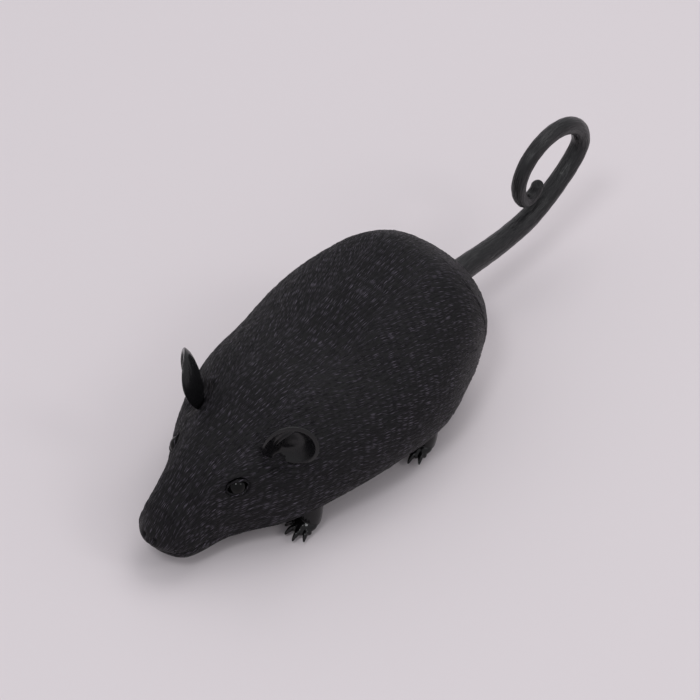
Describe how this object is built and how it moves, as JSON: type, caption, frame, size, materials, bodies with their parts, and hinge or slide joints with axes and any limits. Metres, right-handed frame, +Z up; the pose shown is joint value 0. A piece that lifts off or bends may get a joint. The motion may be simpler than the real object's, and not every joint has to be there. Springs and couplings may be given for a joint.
{
  "type": "clockwork mouse",
  "caption": "Low wind-up mouse with a fur-engraved shell, cupped ears, clawed feet and a curled tail that winds its spring motor and drives its wheels.",
  "frame": {"origin": "middle of the whole toy's bounding box, on the floor that its tyres stand on", "axes": "+Z up, +Y towards the tail, -Y towards the nose, +X to the mouse's left"},
  "size_m": [0.0682, 0.194, 0.0551],
  "materials": {
    "fur_shell": "moulded with fine engraved fur strands, satin charcoal",
    "base_plastic": "fine-textured moulded black",
    "ear_plastic": "smooth glossy moulded black",
    "eye_bead": "polished black bead",
    "foot_plastic": "glossy moulded black",
    "tail_plastic": "glossy black with fine wavy grooves along it",
    "plate_steel": "pressed and lightly brushed",
    "turned_steel": "turned bright",
    "spring_steel": "blued and oiled",
    "screw_steel": "zinc plated",
    "gear_brass": "stamped, lightly tarnished",
    "bush_nylon": "natural nylon",
    "hub_plastic": "moulded black",
    "tyre_rubber": "soft black rubber"
  },
  "bodies": {
    "chassis": {"body_shell": "fur_shell", "base_plate": "base_plastic", "left_ear": "ear_plastic", "right_ear": "ear_plastic", "left_eye": "eye_bead", "right_eye": "eye_bead", "front_left_foot": "foot_plastic", "front_right_foot": "foot_plastic", "rear_left_foot": "foot_plastic", "rear_right_foot": "foot_plastic", "left_motor_plate": "plate_steel", "right_motor_plate": "plate_steel", "mid_bridge": "plate_steel", "rear_bridge": "plate_steel", "motor_pillars": "turned_steel", "spring_post": "turned_steel", "mainspring": "spring_steel", "motor_screws": "screw_steel", "shell_screws": "screw_steel", "tail_bush": "bush_nylon", "roller_axle": "turned_steel"},
    "great_wheel": {"crown_wheel": "gear_brass", "click_spring": "spring_steel", "click_rivet": "turned_steel"},
    "winding_tail": {"winding_arbor": "turned_steel", "ratchet_wheel": "turned_steel", "arbor_clip": "spring_steel", "tail": "tail_plastic", "tail_pin": "turned_steel"},
    "second_arbor": {"second_shaft": "turned_steel", "second_pinion": "gear_brass", "second_wheel": "gear_brass"},
    "drive_wheels": {"drive_axle": "turned_steel", "axle_pinion": "gear_brass", "left_hub": "hub_plastic", "right_hub": "hub_plastic", "left_tyre": "tyre_rubber", "right_tyre": "tyre_rubber"},
    "roller": {"front_roller": "hub_plastic"}
  },
  "joints": [
    {"name": "run", "type": "hinge", "parent": "chassis", "child": "great_wheel", "pos_m": [0, -0.01598, 0.01878], "axis": [0, 0.9945, 0.1045], "continuous": true, "deforming": ["mainspring"]},
    {"name": "wind", "type": "hinge", "parent": "great_wheel", "child": "winding_tail", "pos_m": [0, -0.01598, 0.01878], "axis": [0, 0.9945, 0.1045], "range_deg": [-2160, 0], "deforming": ["click_spring"]},
    {"name": "second_spin", "type": "hinge", "parent": "chassis", "child": "second_arbor", "pos_m": [0, -0.01598, 0.01878], "axis": [1, 0, 0], "continuous": true},
    {"name": "drive_spin", "type": "hinge", "parent": "chassis", "child": "drive_wheels", "pos_m": [0, -0.00608, 0.012], "axis": [1, 0, 0], "continuous": true},
    {"name": "roller_spin", "type": "hinge", "parent": "chassis", "child": "roller", "pos_m": [0, -0.06968, 0.009], "axis": [1, 0, 0], "continuous": true}
  ],
  "couplings": [
    {"joint": "second_spin", "follows": "run", "ratio": -3},
    {"joint": "drive_spin", "follows": "run", "ratio": 9}
  ]
}
